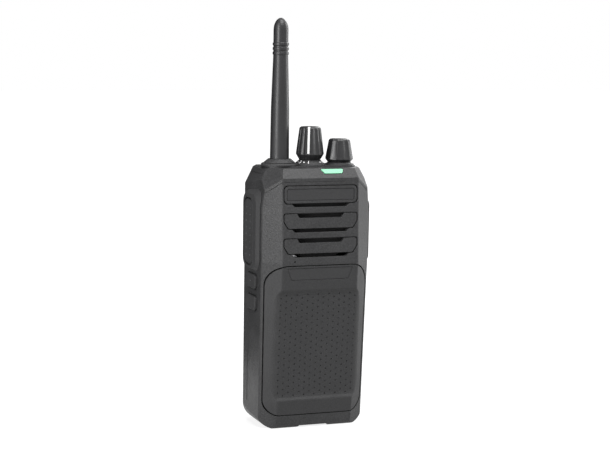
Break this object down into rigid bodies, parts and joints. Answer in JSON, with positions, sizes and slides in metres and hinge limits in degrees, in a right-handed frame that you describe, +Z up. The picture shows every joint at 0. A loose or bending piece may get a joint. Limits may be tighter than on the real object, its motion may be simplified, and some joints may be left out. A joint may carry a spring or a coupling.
{
  "type": "two way radio",
  "caption": "Handheld two-way radio with whip antenna, turning knobs on the deck, side talk button and keys, barred speaker face and a latched rear battery.",
  "frame": {"origin": "middle of the body's width on the flat underside, near the middle of its depth", "axes": "+Z up along the antenna, -Y out of the speaker face, +X to the viewer's right when the face is towards the viewer"},
  "size_m": [0.0557, 0.034, 0.1905],
  "materials": {
    "case_plastic": "fine moulded grain",
    "panel_plastic": "fine grain with sunk dots",
    "plate_plastic": "smooth satin",
    "bar_plastic": "fine moulded grain",
    "lens": "milky light guide",
    "soft_rubber": "soft matte",
    "key_rubber": "soft matte",
    "cover_plastic": "fine moulded grain",
    "inner_plastic": "plain",
    "knob_plastic": "satin, fluted",
    "shaft_metal": "plated",
    "whip_rubber": "satin moulded",
    "contact_metal": "gold plated",
    "print_white": "printed",
    "mesh_cloth": "woven",
    "cone_paper": "pressed paper",
    "cast_metal": "die cast",
    "board": "solder mask",
    "screw_steel": "black plated",
    "pack_plastic": "fine moulded grain",
    "cell_wrap": "shrink wrap"
  },
  "bodies": {
    "housing": {"front_case": "case_plastic", "lower_panel": "panel_plastic", "label_plate": "plate_plastic", "grille_bars": "bar_plastic", "badge_frame": "bar_plastic", "badge_plate": "plate_plastic", "top_cover": "case_plastic", "led_lens": "lens", "ptt_bezel": "soft_rubber", "jack_cover": "cover_plastic", "jack_block": "inner_plastic", "antenna_collar": "case_plastic", "channel_dial_ring": "cover_plastic", "volume_collar": "cover_plastic", "channel_switch": "shaft_metal", "volume_switch": "shaft_metal", "antenna_whip": "whip_rubber", "antenna_core": "contact_metal", "antenna_plug": "contact_metal", "antenna_socket": "contact_metal", "speaker_cloth": "mesh_cloth", "speaker_basket": "shaft_metal", "speaker_cone": "cone_paper", "speaker_magnet": "shaft_metal", "microphone": "shaft_metal", "chassis": "cast_metal", "shaft_seals": "key_rubber", "main_board": "board", "rf_shields": "shaft_metal", "board_spacers": "contact_metal", "key_board": "board", "radio_terminals": "contact_metal", "rear_cover": "case_plastic", "rear_screws": "screw_steel"},
    "channel_dial": {"channel_knob": "knob_plastic", "channel_shaft": "shaft_metal", "channel_pointer": "print_white"},
    "volume_dial": {"volume_knob": "knob_plastic", "volume_shaft": "shaft_metal"},
    "talk_button": {"ptt_button": "soft_rubber"},
    "upper_key": {"side_key_upper": "key_rubber"},
    "lower_key": {"side_key_lower": "key_rubber"},
    "battery": {"battery_cover": "pack_plastic", "battery_tray": "pack_plastic", "battery_cells": "cell_wrap", "battery_contacts": "contact_metal", "charge_contacts": "contact_metal"},
    "latch": {"battery_latch": "cover_plastic"}
  },
  "joints": [
    {"name": "channel_turn", "type": "hinge", "parent": "housing", "child": "channel_dial", "pos_m": [0.0003, 0.0005, 0.13], "axis": [0, 0, -1], "range_deg": [0, 300]},
    {"name": "volume_turn", "type": "hinge", "parent": "housing", "child": "volume_dial", "pos_m": [0.015, 0.0005, 0.13], "axis": [0, 0, -1], "range_deg": [0, 280]},
    {"name": "talk_press", "type": "slide", "parent": "housing", "child": "talk_button", "axis": [1, 0, 0], "range_m": [0, 0.0009], "stiffness_N_per_m": 3000, "springref_m": -0.0005},
    {"name": "upper_key_press", "type": "slide", "parent": "housing", "child": "upper_key", "axis": [1, 0, 0], "range_m": [0, 0.0006], "stiffness_N_per_m": 3000, "springref_m": -0.0004},
    {"name": "lower_key_press", "type": "slide", "parent": "housing", "child": "lower_key", "axis": [1, 0, 0], "range_m": [0, 0.0006], "stiffness_N_per_m": 3000, "springref_m": -0.0004},
    {"name": "battery_tilt", "type": "hinge", "parent": "housing", "child": "battery", "pos_m": [0, 0.0155, 0.0965], "axis": [1, 0, 0], "range_deg": [0, 15]},
    {"name": "latch_slide", "type": "slide", "parent": "housing", "child": "latch", "axis": [0, 0, 1], "range_m": [0, 0.0016], "stiffness_N_per_m": 1500, "springref_m": -0.001}
  ]
}
